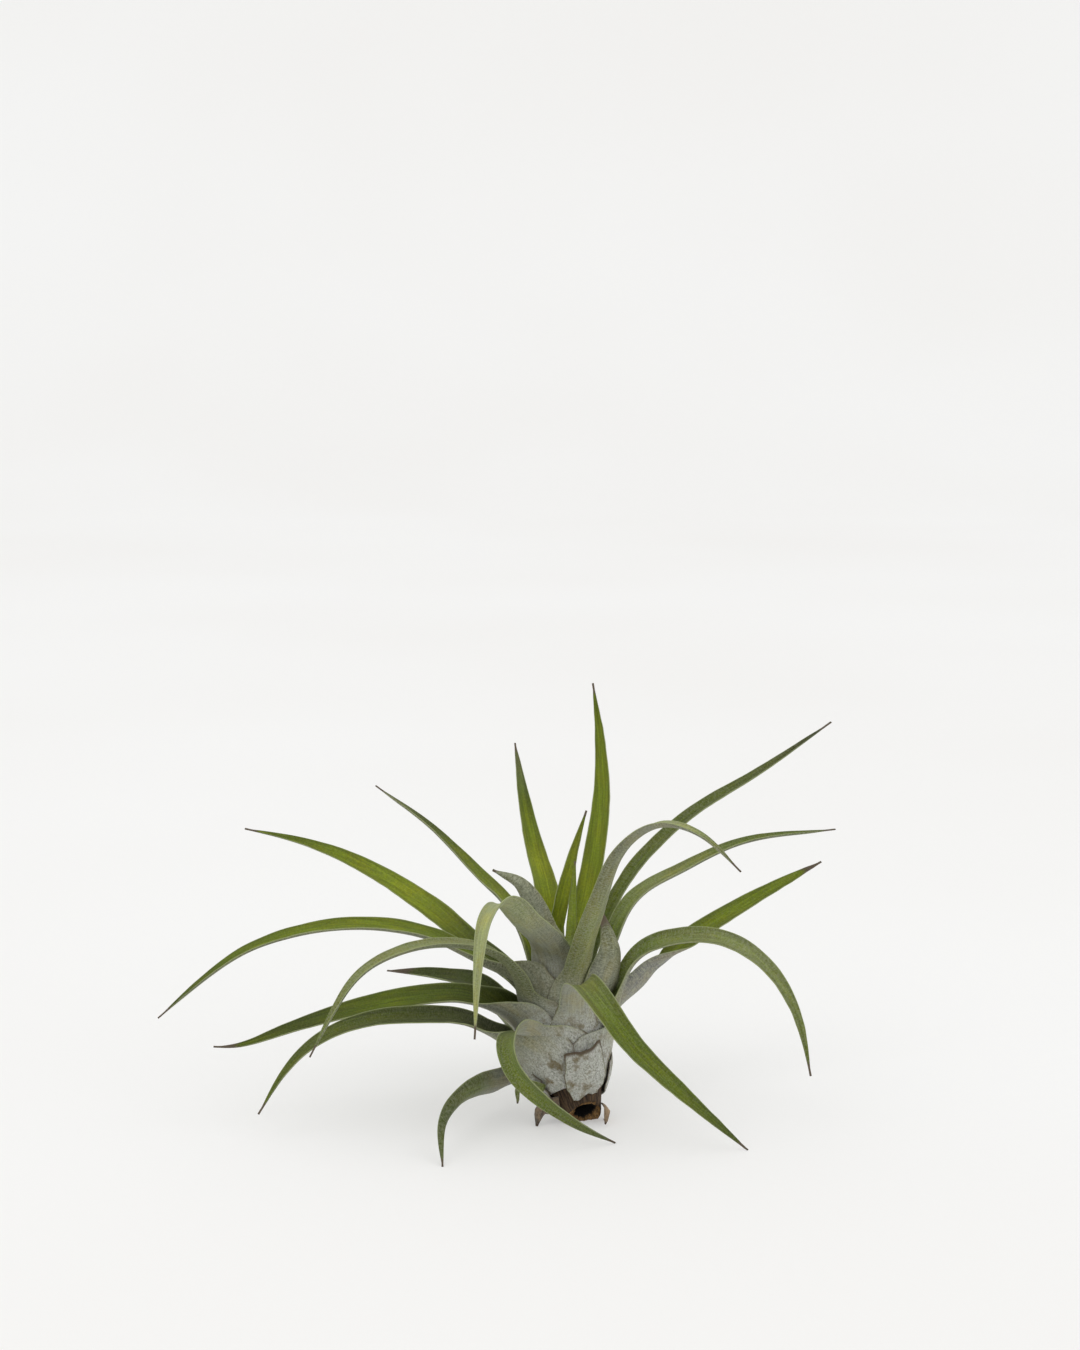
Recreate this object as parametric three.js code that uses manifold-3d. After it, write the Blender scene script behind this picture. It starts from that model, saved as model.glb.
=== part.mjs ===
// A small air plant (a bare-rooted Tillandsia rosette), standing on its stem end and its lowest leaves.
// Millimetres, +Z up, -Y towards the viewer, +X to the viewer's right.
// The origin is the flat spot under the stem that the plant rests on.
import * as THREE from "three";
import { mergeVertices } from "three/addons/utils/BufferGeometryUtils.js";
import Module from "manifold-3d";

const wasm = await Module();
wasm.setup();

// The short stem comes up from its broken end, leaning back, and thins to the growing tip.
const stemLine = [
  [1.6, -1.4, 1.2],
  [-0.2, 2, 7.5],
  [-2, 5.4, 14],
  [-3, 9.8, 23],
  [-3, 15, 34],
  [-2.8, 17.5, 39],
];
const stemRadii = [4.6, 7.2, 7.3, 6, 3.4, 0.8]; // at equal steps along the stem
const stemSides = 14;
const stemRings = 12;
const stemSpare = 2.5; // what the stem is longer than its line, before it is broken off
const stemBreak = { centre: [2.2, -2.5, 2.5], facing: [0.35, -0.75, -0.56] }; // the plane of the break
const pit = { mouth: 2.5, floor: 1.7, depth: 5, over: 1, sides: 10 }; // the rotted hollow in the broken end

// Leaves grow in a spiral: each one starts a step higher up the stem than the one before it.
const lowestSeat = 2;
const seatStep = 1.35;

// A leaf clasps the stem with a strap that climbs and flares, and narrows into the blade.
const strap = { gap: 0.45, climb: 9, flare: 0.4, width: 12, wrap: 46, fade: 2 };
// The blade's thickness at its midrib and margin, the share of the first left at its tip, the half-angles of
// its channelled arc at half length and at the tip, and its blunt tip's width. It tapers to a point by two
// powers, belly and point.
const blade = { middle: 0.85, margin: 0.6, thinTip: 0.65, channel: 46, tipChannel: 54, tipWidth: 0.7 };
const taper = { belly: 1.9, point: 0.9 };
const fullestArc = 64; // the half-angle that no cross-section passes
const ringSpacing = 4.6; // between cross-sections along a leaf
const ringLimits = { fewest: 8, most: 22 };
const bladeFacets = 4; // facets across each face of a leaf
const pathSteps = 160; // points along a midrib while it is smoothed
const pathSmoothing = 60;
// Where along a leaf its roll starts at the latest, and the shares over which it reaches its first value and
// by which it reaches its second one. It has its third one at the tip.
const rollShares = { latest: 0.25, first: 0.2, middle: 0.5 };

// The leaves from the oldest to the youngest. side is where a leaf grows from, in degrees round the stem
// from the right by the back; path the points that its midrib passes after its strap, to its tip; width its
// blade's; roll how far the blade turns over round its midrib, three values in degrees.
const leaves = [
  { name: "sheath_old_right", side: 287, width: 9, climb: 12, lift: 0.3, wrap: 30, torn: 8, path: [] },
  { name: "leaf_low_left", side: 145, width: 8.6, roll: [92, 100, 150],
    path: [[-19, -1, 8.6], [-22, -7, 9.6], [-26.3, -16, 9.6], [-30, -27, 7], [-30, -36.5, -0.2]] },
  { name: "leaf_rear_left", side: 58, width: 6.4,
    path: [[-4, 26, 13], [-7, 36, 13], [-8.5, 46, 8], [-9, 53, -0.3]] },
  { name: "leaf_left_hanging", side: 206, width: 7, roll: [-58, -66, -62],
    path: [[-24.5, 0, 23.5], [-36.5, -5, 26], [-48.5, -8.5, 25.9], [-59, -11, 22.3],
      [-66.5, -13, 15.8], [-73, -15.5, 5.9]] },
  { name: "leaf_right_hanging", side: 345, width: 7, roll: [38, 36, 42],
    path: [[14, 9.5, 36.6], [27, 3, 43.2], [36.7, -3, 43.2], [45.4, -7, 37.4], [51.4, -10, 26.8],
      [54.2, -12, 14]] },
  { name: "leaf_left_dark", side: 124, width: 7.6, roll: [0, -15, -15], belly: 2.8,
    path: [[-22, 24, 25.5], [-32.5, 33, 26.5], [-46, 40, 26.3]] },
  { name: "leaf_front_folded", side: 233, width: 7.6, roll: [20, 38, 38],
    path: [[-15, -14, 24], [-14, -20, 18], [-7, -21.5, 11], [1, -21, 5], [9, -19, 0.2]] },
  { name: "leaf_right_low", side: 26, width: 6.6, roll: [-55, 40, 55], belly: 3,
    path: [[15, 18, 28], [28.3, 27, 37], [43.8, 37, 44.5], [61.5, 46, 52.5]] },
  { name: "leaf_right_folded", side: 288, width: 7.8,
    path: [[1.5, -14, 36.5], [5.7, -20, 32.7], [12.6, -23, 23.8], [24.8, -24.5, 12.4], [39, -24, 0]] },
  { name: "leaf_left_broad", side: 184, width: 8.4, roll: [-38, -48, -45],
    path: [[-24, 7, 27.2], [-34, 6, 27.8], [-48, 4, 26.2], [-64.2, 1.5, 22.3], [-79.5, -1, 17.8],
      [-84.5, -2.5, 18.4]] },
  { name: "leaf_rear_straight", side: 90, width: 6.6,
    path: [[-0.5, 38, 27], [0.5, 52, 25], [2, 72, 15], [2.5, 80, 9]] },
  { name: "leaf_right_short", side: 330, width: 10.4, roll: [-30, -34, -34],
    path: [[7.4, 5, 33], [9, 7, 39.5], [6.3, 12, 48]] },
  { name: "leaf_left_bowed", side: 214, width: 6.8, roll: [-10, -8, -5],
    path: [[-17.5, -2, 39.5], [-29, -9, 44.2], [-39.3, -15, 44.1], [-49, -20, 40], [-55.2, -23, 31.4],
      [-60.3, -25, 22]] },
  { name: "leaf_right_bowed", side: 8, width: 6.8, roll: [28, 38, 45], belly: 1.6,
    path: [[13.2, 20, 47.3], [26.3, 30, 53.6], [42, 38, 59.2], [65, 47, 60.5]] },
  { name: "leaf_left_high", side: 136, width: 7.6, roll: [-15, -35, -25],
    path: [[-24.5, 28, 35], [-36.5, 37, 43.4], [-53.7, 46, 52], [-68.7, 53, 56.3], [-82.5, 58, 58.5]] },
  { name: "leaf_right_arched", side: 294, width: 6.6, roll: [8, 20, 20],
    path: [[5.6, -5, 52.5], [10.4, -13, 66.7], [18.8, -22, 75], [28, -30, 73.8], [36, -36, 67]] },
  { name: "leaf_left_arched", side: 193, width: 7.6, roll: [-46, -56, -54],
    path: [[-20, 13, 33], [-32, 15, 39.5], [-46.5, 17, 42.4], [-60.5, 16, 42.2], [-77.4, 14, 37.8],
      [-88.8, 12, 30.5], [-99, 10, 22]] },
  { name: "leaf_right_high", side: 50, width: 4.6, roll: [0, 10, 10], belly: 2.6,
    path: [[9.2, 27, 45.2], [16.4, 33, 55.3], [28.5, 39, 65.5], [46.8, 48, 75.1], [64.5, 56, 86]] },
  { name: "leaf_back_left", side: 148, width: 6.6, roll: [-5, -22, -15], belly: 1.4,
    path: [[-15, 26, 44], [-23.5, 37, 51], [-36, 49, 61.2], [-49.5, 58, 69.5]] },
  { name: "leaf_front_arched", side: 252, width: 9.8, roll: [8, 15, 20], belly: 1.3,
    path: [[-11.5, -12, 49.5], [-16.5, -24, 57.5], [-20, -34, 55.5], [-21.5, -42, 46.5], [-22.5, -47, 32]] },
  { name: "leaf_back_upright", side: 122, width: 7.9,
    path: [[-6.9, 28, 47], [-10.1, 38, 57], [-12.8, 48, 69], [-14.5, 57, 80.5]] },
  { name: "leaf_heart_small", side: 290, width: 3.6,
    path: [[0.2, 22, 57.5]] },
  { name: "leaf_back_tall", side: 48, width: 7.2, roll: [7, 15, 15],
    path: [[5.8, 34, 58], [7.4, 44, 71], [6.8, 52, 83.5], [5, 58, 95.5]] },
  { name: "leaf_front_short", side: 222, width: 7.4, roll: [25, 35, 35],
    path: [[-12.5, 12, 53.5], [-19.5, 14, 57]] },
  { name: "leaf_heart", side: 120, width: 4.6, roll: [0, -10, -10],
    path: [[-0.8, 26.5, 57], [3, 32, 68]] },
];

// What is left of the oldest leaves hangs from the foot of the stem, with no strap: seat is how far up
// it starts, and lift how far it starts outside its neighbours.
const remnants = [
  { name: "dry_flap", seat: 0.3, lift: 1, side: 22, width: 4.4, path: [[7.6, -4.2, 3], [7, -5.5, 0.6]] },
  { name: "dry_spike", seat: 3, lift: 0.7, side: 228, width: 4, path: [[-8, -4.4, 4], [-9, -5.7, 0.2]] },
  { name: "leaf_low_stub", seat: 7, lift: 1.9, side: 215, width: 3.6, path: [[-13, -6, 10], [-13.5, -7, 6]] },
];

const toRadians = Math.PI / 180;
const blend = (from, to, share) => from + (to - from) * share;

// 0 before low, 1 after high, and smooth in between.
function ramp(value, low, high) {
  const share = Math.min(1, Math.max(0, (value - low) / (high - low)));
  return share * share * (3 - 2 * share);
}

function vector([x, y, z]) {
  return new THREE.Vector3(x, y, z);
}

const stemCurve = new THREE.CatmullRomCurve3(stemLine.map(vector));
const stemLength = stemCurve.getLength();

function stemRadius(height) {
  const place = Math.min(1, height / stemLength) * (stemRadii.length - 1);
  const index = Math.min(stemRadii.length - 2, Math.floor(place));
  return blend(stemRadii[index], stemRadii[index + 1], place - index);
}

// The two directions across an axis.
function across(axis) {
  const right = new THREE.Vector3(1, 0, 0).addScaledVector(axis, -axis.x).normalize();
  return { right, back: axis.clone().cross(right) };
}

// A point of the stem's axis, the axis's direction there, and the two directions across it.
function stemAt(height) {
  const share = Math.min(1, Math.max(0, height / stemLength));
  const axis = stemCurve.getTangentAt(share);
  return { point: stemCurve.getPointAt(share), axis, ...across(axis) };
}

// A closed solid's geometry from rings of points, listed anticlockwise as seen from the ring after.
// A ring's second half lies across from its first, and each pair of facets that face each other is split
// along the same diagonal, so that a thin blade's faces never cross.
function ringSolid(rings) {
  const sides = rings[0].length;
  const positions = rings.flat().flatMap((p) => [p.x, p.y, p.z]);
  const index = [];
  for (let r = 0; r + 1 < rings.length; r++)
    for (let i = 0; i < sides; i++) {
      const a = r * sides + i;
      const b = r * sides + ((i + 1) % sides);
      if (i < sides / 2) index.push(a, b, b + sides, a, b + sides, a + sides);
      else index.push(a, b, a + sides, b, b + sides, a + sides);
    }
  const last = (rings.length - 1) * sides;
  for (let i = 0; i + 1 < sides / 2; i++) {
    const facing = sides - 1 - i;
    index.push(i, facing - 1, i + 1, i, facing, facing - 1);
    index.push(last + i, last + i + 1, last + facing - 1, last + i, last + facing - 1, last + facing);
  }
  const geometry = new THREE.BufferGeometry();
  geometry.setAttribute("position", new THREE.Float32BufferAttribute(positions, 3));
  geometry.setIndex(index);
  return geometry;
}

// A round ring of points across an axis, moved along it by shift.
function roundRing(point, axis, shift, radius, sides) {
  const { right, back } = across(axis);
  return Array.from({ length: sides }, (_, k) => {
    const angle = (2 * Math.PI * k) / sides;
    return point.clone()
      .addScaledVector(axis, shift)
      .addScaledVector(right, radius * Math.cos(angle))
      .addScaledVector(back, radius * Math.sin(angle));
  });
}

// The distance of a strap's middle from the stem's axis, at a distance up from its foot.
function strapRadius(leaf, climbed) {
  const innermost = strap.gap + blade.middle / 2 + (leaf.lift ?? 0);
  return stemRadius(leaf.seat + climbed) + innermost + strap.flare * climbed;
}

// The midrib: foot on the stem, up the strap, then through the path's points, smoothed.
function midrib(leaf) {
  const foot = stemAt(leaf.seat);
  const out = foot.right.clone().multiplyScalar(Math.cos(leaf.side * toRadians))
    .addScaledVector(foot.back, Math.sin(leaf.side * toRadians));
  const climb = leaf.climb ?? strap.climb;
  const shares = climb > 0 ? [0, 0.5, 1] : [0];
  const strapPoints = shares.map((share) => {
    const climbed = share * climb;
    return stemAt(leaf.seat + climbed).point.addScaledVector(out, strapRadius(leaf, climbed));
  });
  const points = [...strapPoints, ...leaf.path.map(vector)];
  let line = new THREE.CatmullRomCurve3(points).getSpacedPoints(pathSteps);
  for (let pass = 0; pass < pathSmoothing; pass++)
    line = line.map((p, i) =>
      i === 0 || i === pathSteps
        ? p
        : p.clone().multiplyScalar(2).add(line[i - 1]).add(line[i + 1]).divideScalar(4),
    );
  const curve = new THREE.CatmullRomCurve3(line);
  return { line: curve.getSpacedPoints(pathSteps), length: curve.getLength(), out };
}

// A leaf starts to roll where its strap ends.
function rollAt(leaf, share, length) {
  const rolls = [0, ...(leaf.roll ?? [0, 0, 0])];
  const start = Math.min(rollShares.latest, (0.85 * (leaf.climb ?? strap.climb)) / length);
  const first = start + rollShares.first;
  const stops = [start, first, Math.max(rollShares.middle, first + 0.05), 1];
  return rolls.slice(1).reduce(
    (turn, roll, k) => turn + (roll - rolls[k]) * ramp(share, stops[k], stops[k + 1]),
    0,
  );
}

// The place, upward and leftward directions of a leaf's cross-sections along its midrib.
// At the foot they stand square to the stem, so that straps nest, and further on square to the midrib.
function bladeFrames(leaf, { line, length, out }) {
  const { axis } = stemAt(leaf.seat);
  let face = out.clone().negate();
  return line.map((point, i) => {
    const before = line[Math.max(0, i - 1)];
    const after = line[Math.min(pathSteps, i + 1)];
    const share = i / pathSteps;
    const free = leaf.climb === 0 ? 1 : ramp(share * length, 0, leaf.climb ?? strap.climb);
    const tangent = axis.clone().lerp(after.clone().sub(before).normalize(), free).normalize();
    face = face.clone().addScaledVector(tangent, -face.dot(tangent)).normalize();
    const up = face.clone().applyAxisAngle(tangent, rollAt(leaf, share, length) * toRadians);
    return { point, up, left: up.clone().cross(tangent) };
  });
}

// The width of a cross-section and the radius of the arc that it follows.
function section(leaf, share, length) {
  const climb = leaf.climb ?? strap.climb;
  const climbed = share * length;
  const open = climb > 0 ? ramp(climbed, 0, climb + strap.fade) : 1;
  const hug = strapRadius(leaf, Math.min(climbed, climb));
  const clasp = Math.min(strap.width, 2 * hug * Math.sin((leaf.wrap ?? strap.wrap) * toRadians));
  const narrowed = Math.pow(1 - Math.pow(share, leaf.belly ?? taper.belly), taper.point);
  const body = blend(clasp, leaf.width, open);
  const width = leaf.torn
    ? blend(body, leaf.torn, ramp(share, 0.6, 1))
    : Math.max(blade.tipWidth, body * narrowed);
  const channel = blend(blade.channel, blade.tipChannel, ramp(share, 0.5, 1)) * toRadians;
  const curled = climb > 0 ? ramp(climbed, climb / 2, 2 * climb) : 1;
  return { width, radius: blend(hug, width / (2 * Math.sin(channel)), curled) };
}

function leafRing(leaf, frame, share, length) {
  const { width, radius } = section(leaf, share, length);
  const half = Math.asin(Math.min(Math.sin(fullestArc * toRadians), width / (2 * radius)));
  const thin = blend(1, blade.thinTip, ramp(share, 0.6, 1));
  const ring = [];
  for (const face of [1, -1])
    for (let i = 0; i <= bladeFacets; i++) {
      const across = face * (1 - (2 * i) / bladeFacets);
      const angle = across * half;
      const thickness = Math.max(blade.margin, blend(blade.margin, blade.middle, 1 - across * across) * thin);
      const inward = frame.up.clone().multiplyScalar(Math.cos(angle))
        .addScaledVector(frame.left, -Math.sin(angle));
      ring.push(
        frame.point.clone()
          .addScaledVector(frame.left, radius * Math.sin(angle))
          .addScaledVector(frame.up, radius * (1 - Math.cos(angle)))
          .addScaledVector(inward, (face * thickness) / 2),
      );
    }
  return ring;
}

function leafGeometry(leaf) {
  const rib = midrib(leaf);
  const { length } = rib;
  const frames = bladeFrames(leaf, rib);
  const wanted = Math.round(length / ringSpacing);
  const count = Math.min(ringLimits.most, Math.max(ringLimits.fewest, wanted));
  return ringSolid(
    Array.from({ length: count + 1 }, (_, i) => {
      const share = i / count;
      return leafRing(leaf, frames[Math.round(share * pathSteps)], share, length);
    }),
  );
}

function solidOf(geometry) {
  const merged = mergeVertices(geometry, 1e-4);
  return new wasm.Manifold(
    new wasm.Mesh({
      numProp: 3,
      vertProperties: merged.attributes.position.array,
      triVerts: new Uint32Array(merged.index.array),
    }),
  );
}

function geometryOf(solid) {
  const mesh = solid.getMesh();
  const geometry = new THREE.BufferGeometry();
  geometry.setAttribute("position", new THREE.BufferAttribute(mesh.vertProperties, 3));
  geometry.setIndex(new THREE.BufferAttribute(mesh.triVerts, 1));
  return geometry;
}

function aboveGround(solid) {
  return solid.trimByPlane([0, 0, 1], 0);
}

function stemSolid() {
  const foot = stemAt(0);
  const rings = Array.from({ length: stemRings }, (_, i) => {
    const height = (stemLength * i) / (stemRings - 1);
    const { point, axis } = stemAt(height);
    return roundRing(point, axis, 0, stemRadius(height), stemSides);
  });
  const end = roundRing(foot.point, foot.axis, -stemSpare, stemRadii[0], stemSides);
  const centre = vector(stemBreak.centre);
  const inward = vector(stemBreak.facing).normalize().negate();
  const hollow = ringSolid([
    roundRing(centre, inward, -pit.over, pit.mouth, pit.sides),
    roundRing(centre, inward, pit.depth / 2, pit.mouth, pit.sides),
    roundRing(centre, inward, pit.depth, pit.floor, pit.sides),
  ]);
  const body = solidOf(ringSolid([end, ...rings])).trimByPlane(inward.toArray(), inward.dot(centre));
  return aboveGround(body.subtract(solidOf(hollow)));
}

const leafMaterial = new THREE.MeshStandardMaterial({ color: 0x6f8f45, roughness: 0.6, metalness: 0 });
const stemMaterial = new THREE.MeshStandardMaterial({ color: 0x7a5a3c, roughness: 0.9, metalness: 0 });

const plant = new THREE.Group();

function addMesh(name, solid, material) {
  const mesh = new THREE.Mesh(geometryOf(solid), material);
  mesh.name = name;
  plant.add(mesh);
}

addMesh("stem", stemSolid(), stemMaterial);
leaves.forEach((leaf, age) => {
  const seated = { ...leaf, seat: lowestSeat + seatStep * age };
  addMesh(leaf.name, aboveGround(solidOf(leafGeometry(seated))), leafMaterial);
});
for (const remnant of remnants)
  addMesh(remnant.name, aboveGround(solidOf(leafGeometry({ ...remnant, climb: 0 }))), stemMaterial);

export default plant;
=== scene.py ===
import bpy
import math
import numpy as np
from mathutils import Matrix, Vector, noise


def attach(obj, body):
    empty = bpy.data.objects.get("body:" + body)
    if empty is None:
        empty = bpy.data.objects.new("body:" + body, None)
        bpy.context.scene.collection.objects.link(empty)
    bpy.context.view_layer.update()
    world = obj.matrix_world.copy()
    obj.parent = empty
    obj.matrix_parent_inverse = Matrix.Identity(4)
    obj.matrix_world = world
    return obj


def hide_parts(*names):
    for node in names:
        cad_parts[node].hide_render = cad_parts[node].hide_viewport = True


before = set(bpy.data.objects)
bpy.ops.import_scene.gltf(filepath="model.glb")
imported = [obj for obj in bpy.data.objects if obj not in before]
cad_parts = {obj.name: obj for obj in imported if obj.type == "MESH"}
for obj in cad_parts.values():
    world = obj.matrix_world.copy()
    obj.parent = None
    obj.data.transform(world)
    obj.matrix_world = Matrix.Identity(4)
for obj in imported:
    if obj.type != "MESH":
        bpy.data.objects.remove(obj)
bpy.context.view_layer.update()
print("frame: %d nodes" % len(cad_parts))

mm = 0.001

# the camera: its place and nearest sight in mm, its tilt in degrees from straight down, and its lens
view = {"place": (-8.237, -684.554, 201.960), "tilt": 82, "lens": 80, "sensor": 36, "nearest": 20}


def makeCamera(view):
    lens = bpy.data.cameras.new("camera")
    lens.lens = view["lens"]
    lens.sensor_width = view["sensor"]
    lens.clip_start = view["nearest"] * mm
    camera = bpy.data.objects.new("camera", lens)
    camera.location = [value * mm for value in view["place"]]
    camera.rotation_euler = (math.radians(view["tilt"]), 0, 0)
    bpy.context.scene.collection.objects.link(camera)
    bpy.context.scene.camera = camera


makeCamera(view)
print("camera: set")


# small helpers
def blend(start, end, share):
    return start + (end - start) * share


def ramp(value, low, high):  # 0 before low, 1 after high, smooth in between
    share = np.clip((np.asarray(value, float) - low) / (high - low), 0, 1)
    return share * share * (3 - 2 * share)


def unit(vectors):
    vectors = np.asarray(vectors, float)
    return vectors / np.linalg.norm(vectors, axis=-1, keepdims=True)


def turned(vector, axis, angle):  # a vector turned round a unit axis
    return (vector * math.cos(angle) + np.cross(axis, vector) * math.sin(angle)
            + axis * np.dot(axis, vector) * (1 - math.cos(angle)))


# how far apart the seeds of the noise lie, how it falls off, how much finer each octave is, and its reach
swing = {"apart": 7.31, "fallOff": 0.6, "finer": 2.1, "reach": 1.4}


def wander(x, y, seed, octaves=2):  # smooth seeded noise from about -1 to 1
    place = (x, y, seed * swing["apart"])
    return noise.fractal(place, swing["fallOff"], swing["finer"], octaves) * swing["reach"]


# A smooth curve through points, the same that the CAD solids follow.
curveDivisions = 200


def curvePoints(points, places):
    points = np.asarray(points, float)
    last = len(points) - 1
    padded = np.vstack([2 * points[0] - points[1], points, 2 * points[-1] - points[-2]])
    place = np.asarray(places, float) * last
    index = np.minimum(place.astype(int), last - 1)
    w = (place - index)[:, None]
    p0, p1, p2, p3 = (padded[index + k] for k in range(4))
    pairs = ((p0, p1), (p1, p2), (p2, p3))
    d0, d1, d2 = (np.sqrt(np.linalg.norm(b - a, axis=1))[:, None] for a, b in pairs)
    out = ((p1 - p0) / d0 - (p2 - p0) / (d0 + d1) + (p2 - p1) / d1) * d1
    back = ((p2 - p1) / d1 - (p3 - p1) / (d1 + d2) + (p3 - p2) / d2) * d1
    return p1 + out * w + (3 * (p2 - p1) - 2 * out - back) * w ** 2 + (2 * (p1 - p2) + out + back) * w ** 3


def curveRun(points):  # how far along the curve each of its even parameters lies
    dense = curvePoints(points, np.linspace(0, 1, curveDivisions + 1))
    return np.concatenate([[0], np.cumsum(np.linalg.norm(np.diff(dense, axis=0), axis=1))])


def curveAt(points, shares, run=None):  # points at shares of the curve's length
    run = curveRun(points) if run is None else run
    places = np.interp(np.asarray(shares, float) * run[-1], run, np.linspace(0, 1, curveDivisions + 1))
    return curvePoints(points, places)


# the stem's axis, which everything grows from, in mm
stem = {
    "line": [(1.6, -1.4, 1.2), (-0.2, 2, 7.5), (-2, 5.4, 14), (-3, 9.8, 23), (-3, 15, 34), (-2.8, 17.5, 39)],
    "radii": [4.6, 7.2, 7.3, 6, 3.4, 0.8],  # at equal steps along the stem
    "lowestSeat": 2,  # how far up the stem the oldest leaf starts
    "seatStep": 1.35,  # from one leaf to the next younger one
    "breakCentre": (2.2, -2.5, 2.5),
    "breakFacing": (0.35, -0.75, -0.56),
    "pitMouth": 2.9,  # the rotted hollow in the break: its radii, how far it lies above the middle, its depth
    "pitFloor": 1.5,
    "pitRise": 0.9,
    "pitDepth": 5,
    "barkRough": 0.03,  # as a share of the stem's radius
    "pitRough": 0.18,  # as a share of the hollow's radius
    "breakRough": 0.5,
    "barkWaves": 2,  # how many waves the roughness has round the stem, the break and the hollow
    "breakWaves": 3,
    "pitWaves": 2,
    "barkStretch": 3,  # how long those waves are up the stem
    "skinPlace": (6, 0.7),  # where the bark's noise is read: its radius, and the step from ring to ring
    "nearby": 1e-4,  # the share of its length over which its direction is read
    "rimBroken": 0.6,  # how broken the rim looks, and how much painted shade darkens the mouth and the hollow's top
    "mouthShade": 0.15,
    "pitDark": 0.3,
    "sides": 96,
    "rings": 60,
    "breakRings": (0.85, 0.65, 0.45, 0.25, 0.1, 0),  # from the break's rim to the hollow's mouth
    "pitRings": (0.12, 0.3, 0.5, 0.7, 0.9, 1),  # down the hollow
    "floorRings": (0.66, 0.33, 0.02),  # across its floor
}
stemRun = curveRun(stem["line"])
stemLength = stemRun[-1]


def stemRadius(height):
    steps = np.linspace(0, 1, len(stem["radii"]))
    return np.interp(np.minimum(1, np.asarray(height, float) / stemLength), steps, stem["radii"])


def acrossAxis(axis):  # the two directions across an axis
    right = unit(np.array([1.0, 0, 0]) - axis * axis[0])
    return right, np.cross(axis, right)


def stemAt(height):  # a point of the axis, its direction, and the two directions across it
    share = min(1, max(0, height / stemLength))
    low, high = max(0, share - stem["nearby"]), min(1, share + stem["nearby"])
    point, before, after = curveAt(stem["line"], [share, low, high], stemRun)
    axis = unit(after - before)
    right, back = acrossAxis(axis)
    return point, axis, right, back


# A leaf clasps the stem with a strap that climbs and flares, and narrows into the blade. In mm and degrees.
strap = {
    "gap": 0.45,  # between the stem and the strap
    "climb": 9,
    "flare": 0.4,  # outward, for each mm that it climbs
    "wrap": 74,  # half of the angle that it clasps
    "broadUntil": 4.5,
    "bladeFrom": 12.5,
    "letsGo": (0.55, 1.5),  # thin and felted until then, as shares of its climb
}
blade = {
    "middle": 0.85,  # the CAD solid's thickness, which the strap's place follows
    "thick": 0.62,  # the leaf's own thickness at its midrib
    "margin": 0.2,
    "strapThick": 0.75,  # the strap's share of the blade's thickness, at its middle and at its margin
    "strapMargin": 0.6,
    "marginPower": 2.2,  # how suddenly it thins towards its margin
    "thinTip": 0.6,
    "thinFrom": (0.6, 1),
    "channel": 50,  # half-angle of the arc across the blade, at half length and at the tip
    "tipChannel": 60,
    "tipWidth": 0.42,
    "belly": 1.9,  # the two powers that the blade tapers by
    "point": 0.9,
    "fullestArc": 82,
}
# A leaf starts to roll at this share of its strap, or at latest. first is how far on its first roll is
# reached, middle where its middle one is, at least afterStart past the start, and its last is at the tip.
rollShares = {"latest": 0.25, "strap": 0.85, "first": 0.2, "middle": 0.5, "afterStart": 0.25}
fineness = {"ring": 0.95, "fewestRings": 10, "across": 18, "pathSteps": 160, "smoothing": 60}


def strapRadius(leaf, climbed):
    innermost = strap["gap"] + blade["middle"] / 2 + leaf.get("lift", 0)
    return stemRadius(leaf["seat"] + climbed) + innermost + strap["flare"] * climbed


def midrib(leaf):
    axis, right, back = stemAt(leaf["seat"])[1:]
    side = math.radians(leaf["side"])
    out = right * math.cos(side) + back * math.sin(side)
    climb = leaf.get("climb", strap["climb"])
    points = []
    for share in ((0, 0.5, 1) if climb > 0 else (0,)):
        climbed = share * climb
        points.append(stemAt(leaf["seat"] + climbed)[0] + out * strapRadius(leaf, climbed))
    points += [np.array(place, float) for place in leaf["path"]]
    shares = np.linspace(0, 1, fineness["pathSteps"] + 1)
    line = curveAt(points, shares)
    for _ in range(fineness["smoothing"]):
        line[1:-1] = (2 * line[1:-1] + line[:-2] + line[2:]) / 4
    run = curveRun(line)
    return curveAt(line, shares, run), run[-1], out, axis


def rollAt(leaf, share, start):  # how far the blade has turned over, in degrees
    ends = (start + rollShares["first"], max(rollShares["middle"], start + rollShares["afterStart"]), 1)
    turn, last = 0, 0
    for roll, end in zip(leaf.get("roll", (0, 0, 0)), ends):
        turn += (roll - last) * float(ramp(share, start, end))
        last, start = roll, end
    return turn


def bladeFrames(leaf, line, length, out, axis):  # towards the leaf's face, and across it
    face = -out
    climb = leaf.get("climb", strap["climb"])
    rollStart = min(rollShares["latest"], rollShares["strap"] * climb / length)
    ups, lefts = [], []
    for i in range(len(line)):
        share = i / (len(line) - 1)
        free = 1 if climb == 0 else float(ramp(share * length, 0, climb))
        ahead = unit(line[min(len(line) - 1, i + 1)] - line[max(0, i - 1)])
        tangent = unit(blend(axis, ahead, free))
        face = unit(face - tangent * np.dot(face, tangent))
        up = turned(face, tangent, math.radians(rollAt(leaf, share, rollStart)))
        ups.append(up)
        lefts.append(np.cross(up, tangent))
    return np.array(ups), np.array(lefts)


def bladeWidth(leaf, share):
    narrowed = (1 - share ** leaf.get("belly", blade["belly"])) ** blade["point"]
    return np.maximum(blade["tipWidth"], leaf["width"] * narrowed)


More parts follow.
